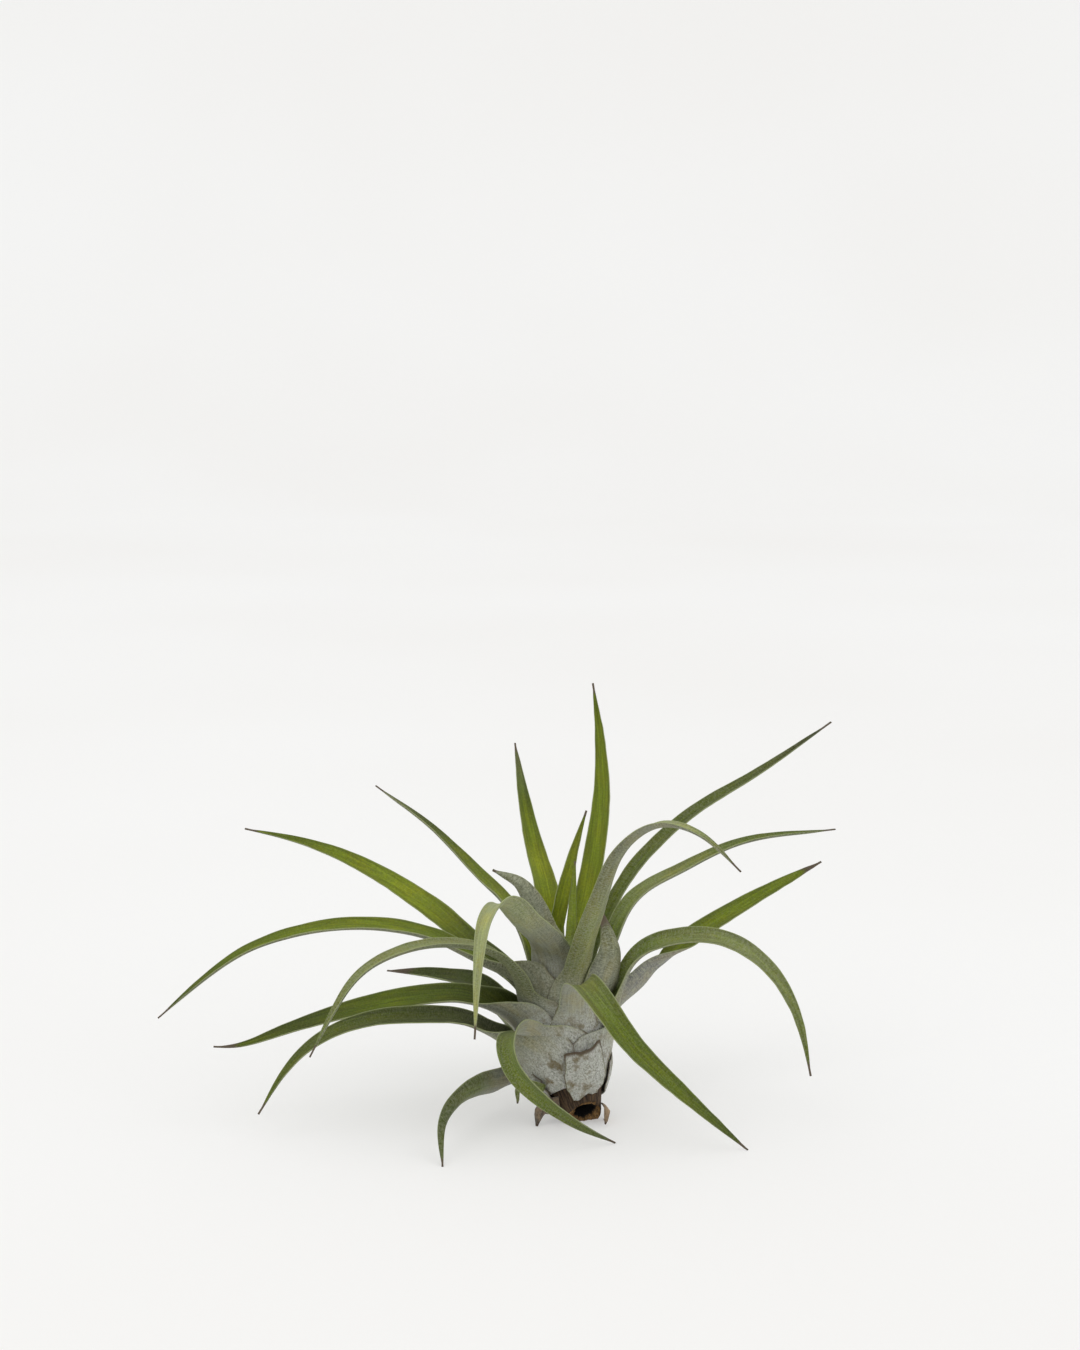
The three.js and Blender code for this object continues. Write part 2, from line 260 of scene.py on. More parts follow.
def section(leaf, share, length):  # the length of the arc across the leaf, and its radius
    climb = leaf.get("climb", strap["climb"])
    climbed = share * length
    hug = strapRadius(leaf, np.minimum(climbed, climb))
    channel = np.radians(blend(blade["channel"], blade["tipChannel"], ramp(share, 0.5, 1)))
    width = bladeWidth(leaf, share)
    if "torn" in leaf:
        width = np.full_like(share, leaf["torn"])
    radius = width / (2 * np.sin(channel))
    arc = 2 * channel * radius
    if climb > 0:
        clasp = 2 * np.radians(leaf.get("wrap", strap["wrap"])) * hug
        bladeFrom = leaf.get("bladeFrom", strap["bladeFrom"])
        arc = blend(clasp, arc, ramp(climbed, strap["broadUntil"], bladeFrom))
        radius = blend(hug, radius, ramp(climbed, climb / 2, 2 * climb))
    return arc, radius


# colours, named as they are seen
def colour(code):  # a web colour as linear numbers
    parts = [int(code[i:i + 2], 16) / 255 for i in (0, 2, 4)]
    return np.array([p / 12.92 if p <= 0.04045 else ((p + 0.055) / 1.055) ** 2.4 for p in parts])


shadeCodes = {
    "lime": "7a881a", "vivid": "65740c", "green": "56660e", "olive": "4c5716", "deep": "3f4a10",
    "dusk": "2f3415", "sage": "727b42", "pale": "939b62", "grey": "64684a", "ash": "77796a",
    "felt": "94958b", "lilac": "7c7b7c", "tan": "a98a62", "bark": "5d4a38", "soot": "1d1713",
}
shades = {name: colour(code) for name, code in shadeCodes.items()}


def toneAt(names, share):  # the colour at a share from 0 to 1, with the named ones at equal steps
    stops = np.array([shades[name] for name in names.split()])
    steps = np.linspace(0, 1, len(stops))
    return np.array([np.interp(share, steps, stops[:, k]) for k in range(3)])


# node helpers
def addNode(tree, kind, settings, inputs, output=0):
    node = tree.nodes.new("ShaderNode" + kind)
    for key, value in settings.items():
        setattr(node, key, value)
    for key, value in inputs.items():
        if isinstance(value, bpy.types.NodeSocket):
            tree.links.new(value, node.inputs[key])
        else:
            node.inputs[key].default_value = value
    return node.outputs[output]


def read(tree, name, kind="Fac"):  # what a mesh's points hold under a name
    return addNode(tree, "Attribute", {"attribute_name": name}, {}, kind)


def times(tree, a, b, clamp=False):
    return addNode(tree, "Math", {"operation": "MULTIPLY", "use_clamp": clamp}, {0: a, 1: b})


def plus(tree, a, b):
    return addNode(tree, "Math", {"operation": "ADD"}, {0: a, 1: b})


def unevenly(tree, amount, cloud):  # an amount that a noise makes more or less
    return plus(tree, amount, times(tree, plus(tree, cloud, -0.5), amount))


def mapTo(tree, value, span, toLow=0.0, toHigh=1.0):
    inputs = {"Value": value, "From Min": span[0], "From Max": span[1], "To Min": toLow, "To Max": toHigh}
    return addNode(tree, "MapRange", {"interpolation_type": "SMOOTHSTEP"}, inputs)


def mixTones(tree, factor, a, b, how="MIX"):
    settings = {"data_type": "RGBA", "blend_type": how}
    return addNode(tree, "Mix", settings, {0: factor, 6: a, 7: b}, 2)


def shaded(tree, tone, shade):  # a colour made darker or lighter by a number
    grey = addNode(tree, "CombineColor", {}, {0: shade, 1: shade, 2: shade})
    return mixTones(tree, 1.0, tone, grey, "MULTIPLY")


def noiseOf(tree, vector, scale, detail=2.0, roughness=0.5):
    inputs = {"Vector": vector, "Scale": scale, "Detail": detail, "Roughness": roughness}
    return addNode(tree, "TexNoise", {}, inputs)


def makeClouds(tree, place, look, names):  # a skin's noises, as its dictionary gives them
    clouds = []
    for name in names.split():
        across, along, detail, roughness = look[name]
        stretched = addNode(tree, "Mapping", {}, {"Vector": place, "Scale": (across, along, 1)})
        clouds.append(noiseOf(tree, stretched, 1, detail, roughness))
    return clouds


def raised(tree, look, height):  # the surface's small relief
    inputs = {"Strength": look["bump"], "Distance": look["relief"] * mm, "Height": height}
    return addNode(tree, "Bump", {}, inputs)


def rgba(code):
    return (*colour(code), 1.0)


def startMaterial(name):
    material = bpy.data.materials.new(name)
    material.use_nodes = True
    material.node_tree.nodes.clear()
    return material, material.node_tree


def finishMaterial(tree, inputs):
    shader = addNode(tree, "BsdfPrincipled", {}, inputs)
    tree.links.new(shader, tree.nodes.new("ShaderNodeOutputMaterial").inputs["Surface"])


# The leaf skin has streaks and nerves along the leaf, grey scales in fine cross rows, pale margins and a dry
# tip. A noise is given as its scale across and along the leaf, its detail and its roughness, and a span is
# the stretch of it that counts from none to full.
leafLook = {
    "scale": "a9ac96",
    "feltPale": "d4d5d0",
    "feltDark": "66675a",
    "rim": "a0a878",
    "sheathBrown": "685a36",
    "dry": "5c5143",
    "warmer": (1.13, 1.02, 0.72, 1),  # what the warm blotches multiply the colour by
    "streaks": (2.3, 0.09, 4, 0.6),
    "nerves": (5.5, 0.05, 2, 0.5),
    "blotches": (0.33, 0.13, 3, 0.6),
    "rows": (1.1, 3.4, 3, 0.6),
    "specks": (2.6, 2.6, 3, 0.7),
    "grains": (2.6, 2.1, 5, 0.75),
    "patches": (0.3, 0.26, 3, 0.55),
    "streakSpan": (0.35, 0.68),
    "nerveSpan": (0.3, 0.7),
    "grainSpan": (0.34, 0.66),
    "blotchSpan": (0.4, 0.65),
    "rowSpan": (0.36, 0.66),
    "speckSpan": (0.42, 0.64),
    "feltSpan": (0.24, 0.74),
    "brownSpan": (0.5, 0.66),
    "drySpan": (0.25, 0.8),
    "streakShade": (0.74, 1.156),
    "nerveShade": (0.92, 1.06),
    "grainShade": (0.84, 1.2),
    "scaleCover": 0.6,
    "feltCover": 0.85,
    "brownCover": 0.8,
    "roughSpan": (0, 0.8),
    "roughness": (0.46, 0.82),  # of the bare leaf and of the scales
    "nerveHeight": 0.7,
    "scaleHeight": 0.55,
    "streakHeight": 0.6,
    "bump": 0.5,
    "relief": 0.16,  # in mm
    "specular": 0.14,
    "sheen": 0.03,
    "glow": 0.08,  # light that goes through the leaf
}


def makeLeafSkin(look):
    material, tree = startMaterial("leafSkin")
    place = read(tree, "leafPlace", "Vector")  # mm across, mm along, and a number of the leaf's own
    names = "streaks nerves blotches rows specks grains patches"
    streaks, nerves, blotches, rows, specks, grains, patches = makeClouds(tree, place, look, names)

    shade = times(tree, mapTo(tree, streaks, look["streakSpan"], *look["streakShade"]),
                  mapTo(tree, nerves, look["nerveSpan"], *look["nerveShade"]))
    shade = times(tree, shade, mapTo(tree, grains, look["grainSpan"], *look["grainShade"]))
    toned = shaded(tree, read(tree, "tone", "Color"), shade)
    warmer = mixTones(tree, 1.0, toned, look["warmer"], "MULTIPLY")
    toned = mixTones(tree, mapTo(tree, blotches, look["blotchSpan"]), toned, warmer)

    cover = plus(tree, mapTo(tree, rows, look["rowSpan"], 0, look["scaleCover"]),
                 mapTo(tree, specks, look["speckSpan"], 0, look["scaleCover"]))
    cover = times(tree, cover, read(tree, "scales"), clamp=True)
    toned = mixTones(tree, cover, toned, rgba(look["scale"]))

    # the clasping base is felted, speckled dark and pale, with brown stains
    sheath = read(tree, "sheath")
    felt = mapTo(tree, grains, look["feltSpan"])
    felt = mixTones(tree, felt, rgba(look["feltDark"]), rgba(look["feltPale"]))
    toned = mixTones(tree, times(tree, sheath, look["feltCover"], clamp=True), toned, felt)
    browned = times(tree, mapTo(tree, patches, look["brownSpan"], 0, look["brownCover"]), sheath, clamp=True)
    toned = mixTones(tree, browned, toned, rgba(look["sheathBrown"]))
    toned = mixTones(tree, read(tree, "rim"), toned, rgba(look["rim"]))
    drier = unevenly(tree, read(tree, "dry"), streaks)
    toned = mixTones(tree, mapTo(tree, drier, look["drySpan"]), toned, rgba(look["dry"]))

    height = plus(tree, times(tree, nerves, look["nerveHeight"]), times(tree, cover, look["scaleHeight"]))
    height = plus(tree, height, times(tree, streaks, look["streakHeight"]))
    rough = mapTo(tree, cover, look["roughSpan"], *look["roughness"])
    finishMaterial(tree, {
        "Base Color": toned, "Roughness": rough, "Normal": raised(tree, look, height),
        "Specular IOR Level": look["specular"], "Sheen Weight": look["sheen"], "Sheen Roughness": 0.5,
        "Subsurface Weight": look["glow"], "Subsurface Radius": (0.4, 0.6, 0.2), "Subsurface Scale": mm,
    })
    return material


# the dry skin of the flap and the spike at the foot: papery fibres
dryLook = {
    "light": "a08a6c",
    "dark": "4a3729",
    "grey": "9b978c",
    "fibres": (4.5, 0.12, 4, 0.65),
    "patches": (0.5, 0.35, 4, 0.65),
    "specks": (3.6, 3.6, 3, 0.7),
    "fibreSpan": (0.3, 0.7),
    "speckSpan": (0.38, 0.62),
    "lightSpan": (0.45, 0.7),
    "drySpan": (0.3, 0.8),
    "roughSpan": (0.3, 0.7),
    "fibreShade": (0.6, 1.25),
    "lightCover": 0.55,
    "roughness": (0.7, 0.9),
    "speckHeight": 0.7,
    "bump": 0.7,
    "relief": 0.25,
    "specular": 0.3,
    "sheen": 0.15,
}


def makeDrySkin(look):
    material, tree = startMaterial("drySkin")
    place = read(tree, "leafPlace", "Vector")
    fibres, patches, specks = makeClouds(tree, place, look, "fibres patches specks")
    shade = mapTo(tree, fibres, look["fibreSpan"], *look["fibreShade"])
    toned = shaded(tree, read(tree, "tone", "Color"), shade)
    felt = times(tree, mapTo(tree, specks, look["speckSpan"]), read(tree, "scales"), clamp=True)
    toned = mixTones(tree, felt, toned, rgba(look["grey"]))
    lit = mapTo(tree, patches, look["lightSpan"], 0, look["lightCover"])
    toned = mixTones(tree, lit, toned, rgba(look["light"]))
    drier = unevenly(tree, read(tree, "dry"), patches)
    toned = mixTones(tree, mapTo(tree, drier, look["drySpan"]), toned, rgba(look["dark"]))
    rough = mapTo(tree, patches, look["roughSpan"], *look["roughness"])
    height = plus(tree, fibres, times(tree, specks, look["speckHeight"]))
    finishMaterial(tree, {
        "Base Color": toned, "Roughness": rough, "Normal": raised(tree, look, height),
        "Specular IOR Level": look["specular"], "Sheen Weight": look["sheen"], "Sheen Roughness": 0.5,
    })
    return material


# the stem's brown fibrous bark, with painted shade that makes its rotted hollow nearly black
barkLook = {
    "light": "5f4c38",
    "dark": "2b211a",
    "hollow": "0b0705",
    "wood": "a07a48",
    "fibres": (2.6, 0.35, 5, 0.65),
    "crumbs": (2.2, 2.2, 4, 0.7),
    "fibreSpan": (0.35, 0.65),
    "woodSpan": (0.35, 0.6),
    "hollowShadeSpan": (0.05, 0.4),
    "roughSpan": (0.3, 0.7),
    "roughness": (0.75, 0.95),
    "bump": 0.8,
    "relief": 0.4,
    "specular": 0.25,
}


def makeBark(look):
    material, tree = startMaterial("stemBark")
    fibres, crumbs = makeClouds(tree, read(tree, "leafPlace", "Vector"), look, "fibres crumbs")
    dark = rgba(look["dark"])
    bark = mixTones(tree, mapTo(tree, fibres, look["fibreSpan"]), dark, rgba(look["light"]))
    wood = mixTones(tree, mapTo(tree, crumbs, look["woodSpan"]), dark, rgba(look["wood"]))
    toned = mixTones(tree, read(tree, "broken"), bark, wood)
    # painted shade: the hollow darkens to nearly black towards its floor
    hollow = mapTo(tree, read(tree, "hollow"), look["hollowShadeSpan"])
    toned = mixTones(tree, hollow, toned, rgba(look["hollow"]))
    rough = mapTo(tree, crumbs, look["roughSpan"], *look["roughness"])
    finishMaterial(tree, {
        "Base Color": toned, "Roughness": rough, "Specular IOR Level": look["specular"],
        "Normal": raised(tree, look, plus(tree, fibres, crumbs)),
    })
    return material


skins = {"leaf": makeLeafSkin(leafLook), "dry": makeDrySkin(dryLook), "bark": makeBark(barkLook)}
print("materials: %d" % len(skins))


# meshes
def makePiece(name, points, faces, numbers, vectors, colours, material):
    mesh = bpy.data.meshes.new(name)
    mesh.from_pydata((np.asarray(points) * mm).tolist(), [], faces)
    for key, values in numbers.items():
        flat = np.asarray(values, np.float32)
        mesh.attributes.new(key, "FLOAT", "POINT").data.foreach_set("value", flat)
    for key, values in vectors.items():
        flat = np.asarray(values, np.float32).ravel()
        mesh.attributes.new(key, "FLOAT_VECTOR", "POINT").data.foreach_set("vector", flat)
    for key, values in colours.items():
        full = np.column_stack([values, np.ones(len(values))]).astype(np.float32)
        mesh.attributes.new(key, "FLOAT_COLOR", "POINT").data.foreach_set("color", full.ravel())
    mesh.polygons.foreach_set("use_smooth", [True] * len(mesh.polygons))
    mesh.materials.append(material)
    mesh.update()
    piece = bpy.data.objects.new(name, mesh)
    bpy.context.scene.collection.objects.link(piece)
    return piece


def tubeFaces(rings, sides):  # quads between rings of points, and a strip across each end
    faces = []
    for r in range(rings - 1):
        for i in range(sides):
            a, b = r * sides + i, r * sides + (i + 1) % sides
            faces.append((a, b, b + sides, a + sides))
    last = (rings - 1) * sides
    for i in range(sides // 2 - 1):
        facing = sides - 1 - i
        faces.append((i, facing, facing - 1, i + 1))
        faces.append((last + i, last + i + 1, last + facing - 1, last + facing))
    return faces


def camel(node):
    words = node.split("_")
    return words[0] + "".join(word.capitalize() for word in words[1:])


# How a grown leaf departs from the plain blade. Each has its size, and most the length of a wave in mm.
wear = {
    "sway": 0.03, "swayWave": 16, "swayFrom": (0.1, 0.4),  # the blade turns to and fro, in radians
    "margin": 0.035, "marginWave": 9,  # the margin goes in and out, as a share of the width
    "fray": 0.05, "frayWave": 1.6,  # and is rougher on the strap
    "ripple": 0.1, "rippleWave": 5, "ripplePower": 3,  # it rises and falls too, in mm
    "groove": 0.25, "grooveWidth": 0.16,  # along the midrib, in mm and as a share of half the width
    "grooveFrom": (0.12, 0.35), "grooveUntil": (0.9, 1),
    "floorGap": 0.03,  # how far the upper face stays over the ground, in mm
}
# The old sheath is torn along its upper edge and worn along its lower one: mm that are missing, how uneven
# that is and in how many waves, and how it slants across the sheath.
tear = {
    "missing": 1.4, "uneven": 0.6, "waves": 0.9, "fine": 0.15, "fineWaves": 3, "slant": -1,
    "tornFrom": (0.4, 1),
    "worn": 1.4, "wornUneven": 0.4, "wornWaves": 1.5, "wornSlant": 0.5,
    "wornUntil": (0, 0.3),
}
# how far apart in the skin's noise the leaves lie, and the two sides of each
apart = {"leaves": 3.7, "sides": 1.9}


def ringFrame(line, ups, lefts, share, along, number):  # a point of the midrib and its three directions
    steps = np.linspace(0, 1, len(line))
    point, up, left = (
        np.array([np.interp(share, steps, part[:, c]) for c in range(3)]) for part in (line, ups, lefts))
    up = unit(up)
    left = unit(left - up * np.dot(left, up))
    tangent = np.cross(left, up)
    sway = wear["sway"] * wander(along / wear["swayWave"], 0, number) * float(ramp(share, *wear["swayFrom"]))
    return point, turned(up, tangent, sway), turned(left, tangent, sway), tangent


def tornShift(share, a):  # how far along itself a point of the torn sheath moves, in mm
    missing = tear["missing"] + tear["uneven"] * wander(a * tear["waves"], 0, 21.7)
    missing += tear["fine"] * wander(a * tear["fineWaves"], 0, 5.3) + tear["slant"] * a
    worn = tear["worn"] + tear["wornUneven"] * wander(a * tear["wornWaves"], 0, 3.9) + tear["wornSlant"] * a
    lower = 1 - float(ramp(share, *tear["wornUntil"]))
    return lower * worn - float(ramp(share, *tear["tornFrom"])) * max(0, missing)


# One point of a leaf's skin, and how far it lies from the midrib across the leaf. a runs from -1 to 1 across
# the leaf, and face is 1 on the upper side and -1 on the back.
def skinPoint(leaf, ring, a, face, number):
    point, up, left, tangent = ring["frame"]
    share, along, radius, clasping = ring["share"], ring["along"], ring["radius"], ring["clasping"]
    edge, side = abs(a), np.sign(a)
    # each wave has its own step between the two sides and its own seed
    margin = wear["margin"] * wander(along / wear["marginWave"], side * 3, number + 0.5)
    fray = clasping * wear["fray"] * wander(along / wear["frayWave"], side * 5, number)
    half = ring["arc"] / 2 * (1 + margin + fray)
    angle = min(half / radius, math.radians(blade["fullestArc"])) * a
    thinEdge = blade["margin"] * blend(1, blade["strapMargin"], clasping)
    thick = blade["thick"] * blend(1, blade["strapThick"], clasping)
    thickness = blend(thinEdge, thick, 1 - edge ** blade["marginPower"]) * ring["thin"]
    height = wear["ripple"] * edge ** wear["ripplePower"]
    ripple = height * wander(along / wear["rippleWave"], side * 2, number + 2.5)
    lift = ripple - ring["groove"] * math.exp(-(a / wear["grooveWidth"]) ** 2)
    inward = up * math.cos(angle) - left * math.sin(angle)
    p = (point + left * radius * math.sin(angle) + up * radius * (1 - math.cos(angle))
         + inward * (face * thickness / 2 + lift))
    if "torn" in leaf:
        p = p + tangent * tornShift(share, a)
    p[2] = max(p[2], wear["floorGap"] if face > 0 else 0.0)
    return p, angle * radius


# How the leaf's looks change: painted light along its middle and painted shade towards its margins, felted on
# its strap, pale at its rim, dry at its tip.
looks = {
    # painted light along the middle of the blade and painted shade towards its margins
    "paintedMiddleLight": 1.14,
    "paintedEdgeShade": 0.36,
    "edgeShadePower": 1.5,
    "faceFelt": 0.5,  # the upper face's share of the felt
    "feltTone": 0.6,
    "feltScales": 0.95,
    "rim": 0.6,
    "rimWidth": (0.92, 1),  # from the middle to the margin
    "rimFrom": (0.06, 0.2),  # from the leaf's foot to its tip, as the spans below
    "rimUntil": (0.85, 0.97),
    "tip": 0.03,
    "tipSpread": (1.7, 0.35),  # times the leaf's own tip
    "edgeDry": 0.25,
    "edgeDryFrom": (0.7, 1),
    "tornDry": 0.7,
    "tornDryFrom": (0.84, 1),
    "strapEdgeDry": 0.7,
    "strapEdge": (0.88, 1),
    "youngFelt": 0.3,  # the younger leaves are greener at their foot
    "young": (9, 16),  # which leaves those are, counted from the oldest
}


def ringLooks(leaf, share, felting, edges, upper):  # colour and numbers of a ring's points
    tone = blend(toneAt(leaf["back"], share), toneAt(leaf["face"], share), upper[:, None])
    # painted light along the middle and painted shade towards the margins
    tone = tone * (looks["paintedMiddleLight"] - looks["paintedEdgeShade"] * edges ** looks["edgeShadePower"])[:, None]
    felted = felting * blend(1, looks["faceFelt"], upper)
    tone = blend(tone, shades["felt"], (felted * looks["feltTone"])[:, None])
    faceScales, backScales = leaf["scales"]
    scales = blend(blend(backScales, faceScales, upper), looks["feltScales"], felted)
    rim = ramp(edges, *looks["rimWidth"]) * leaf.get("rim", looks["rim"])
    rim = rim * ramp(share, *looks["rimFrom"]) * (1 - ramp(share, *looks["rimUntil"]))
    low, high = (1 - leaf.get("tip", looks["tip"]) * part for part in looks["tipSpread"])
    dry = ramp(share, low, high) + looks["edgeDry"] * edges * ramp(share, *looks["edgeDryFrom"])
    if "torn" in leaf:
        dry = np.maximum(dry, looks["tornDry"] * ramp(share, *looks["tornDryFrom"]))
    return tone, scales, rim, dry, felted


def growLeaf(node, leaf, number):
    line, length, out, axis = midrib(leaf)
    ups, lefts = bladeFrames(leaf, line, length, out, axis)
    count = int(max(fineness["fewestRings"], round(length / fineness["ring"])))
    shares = np.linspace(0, 1, count + 1)
    arcs, radii = section(leaf, shares, length)
    climb = leaf.get("climb", strap["climb"])
    clasping = np.zeros_like(shares)
    if climb > 0:
        clasping = 1 - ramp(shares * length / climb, *strap["letsGo"])
    felting = np.ones_like(shares) if "torn" in leaf else clasping
    feltShare = blend(1, looks["youngFelt"], float(ramp(number, *looks["young"])))

    # the rings go round from the upper face to the back
    across = np.sin(np.linspace(-1, 1, fineness["across"] + 1) * math.pi / 2)
    edges = np.abs(np.concatenate([across[::-1], across]))
    upper = np.concatenate([np.ones(len(across)), np.zeros(len(across))])
    points, places, tones = [], [], []
    numbers = {"scales": [], "rim": [], "dry": [], "sheath": []}
    for k, share in enumerate(shares):
        along = share * length
        grooved = float(ramp(share, *wear["grooveFrom"])) * (1 - float(ramp(share, *wear["grooveUntil"])))
        ring = {
            "frame": ringFrame(line, ups, lefts, share, along, number),
            "share": share, "along": along, "arc": arcs[k], "radius": radii[k], "clasping": clasping[k],
            "thin": blend(1, blade["thinTip"], ramp(share, *blade["thinFrom"])),
            "groove": wear["groove"] * grooved,
        }
        for face in (1, -1):
            layer = number * apart["leaves"] + (0 if face > 0 else apart["sides"])
            for a in (across if face < 0 else across[::-1]):
                point, aside = skinPoint(leaf, ring, a, face, number)
                points.append(point)
                places.append((aside, along, layer))
        tone, scales, rim, dry, felted = ringLooks(leaf, share, felting[k] * feltShare, edges, upper)
        tones.extend(tone)
        numbers["scales"].extend(scales)
        numbers["rim"].extend(rim)
        numbers["sheath"].extend(felted)
        dryEdge = felting[k] * ramp(edges, *looks["strapEdge"]) * looks["strapEdgeDry"]
        numbers["dry"].extend(np.clip(dry + dryEdge, 0, 1))
    faces = tubeFaces(count + 1, 2 * len(across))
    skin = leaf.get("skin", "leaf")
    piece = makePiece(
        camel(node), points, faces, numbers, {"leafPlace": places}, {"tone": np.array(tones)}, skins[skin])
    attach(piece, "root")
    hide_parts(node)


